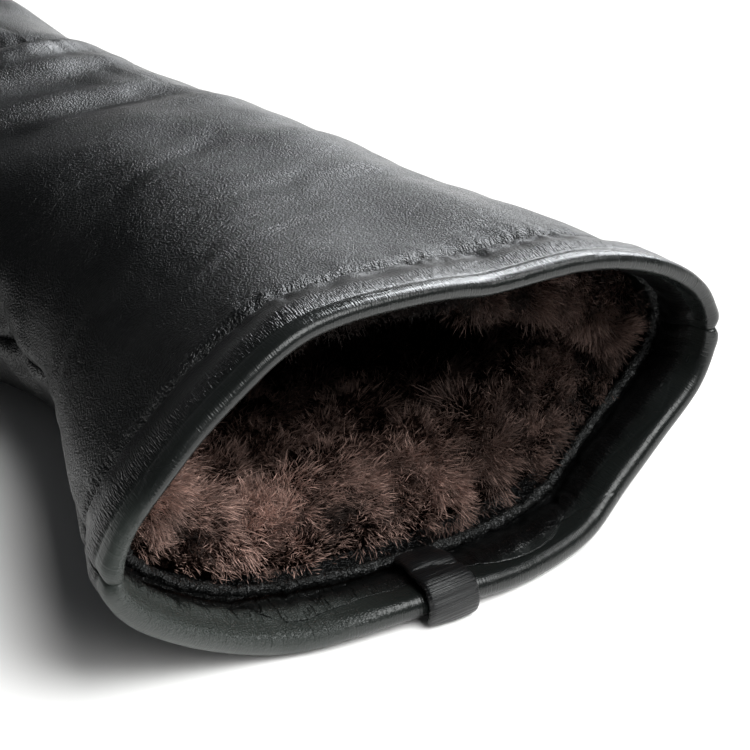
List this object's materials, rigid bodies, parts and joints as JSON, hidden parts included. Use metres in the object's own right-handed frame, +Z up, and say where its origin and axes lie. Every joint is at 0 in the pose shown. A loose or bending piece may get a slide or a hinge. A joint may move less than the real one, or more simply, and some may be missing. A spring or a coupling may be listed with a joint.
{
  "type": "sheepskin glove",
  "caption": "Black leather dress glove with a sheepskin lining, lying palm down with its cuff open and a small hanging loop over the lower lip.",
  "frame": {"origin": "bottom centre of the bounding box, on the surface the glove lies on", "axes": "+Y from the open cuff towards the fingertips, +Z up through the back of the hand, +X towards the little finger"},
  "size_m": [0.1472, 0.266, 0.0463],
  "materials": {
    "back_leather": "fine-grained lamb nappa, soft gloss",
    "palm_leather": "fine-grained lamb nappa, soft gloss",
    "thumb_leather": "fine-grained lamb nappa, soft gloss",
    "fourchette_leather_1": "fine-grained lamb nappa",
    "fourchette_leather_2": "fine-grained lamb nappa",
    "fourchette_leather_3": "fine-grained lamb nappa",
    "sheepskin": "deep soft sheepskin pile, brown with paler tips",
    "binding_leather": "rolled nappa edge",
    "loop_leather": "folded nappa strip"
  },
  "bodies": {
    "root": {"back_panel": "back_leather", "palm_panel": "palm_leather", "thumb": "thumb_leather", "fourchette_index_middle": "fourchette_leather_1", "fourchette_middle_ring": "fourchette_leather_2", "fourchette_ring_little": "fourchette_leather_3", "lining": "sheepskin", "lining_binding": "binding_leather", "hanging_loop": "loop_leather"}
  },
  "joints": []
}
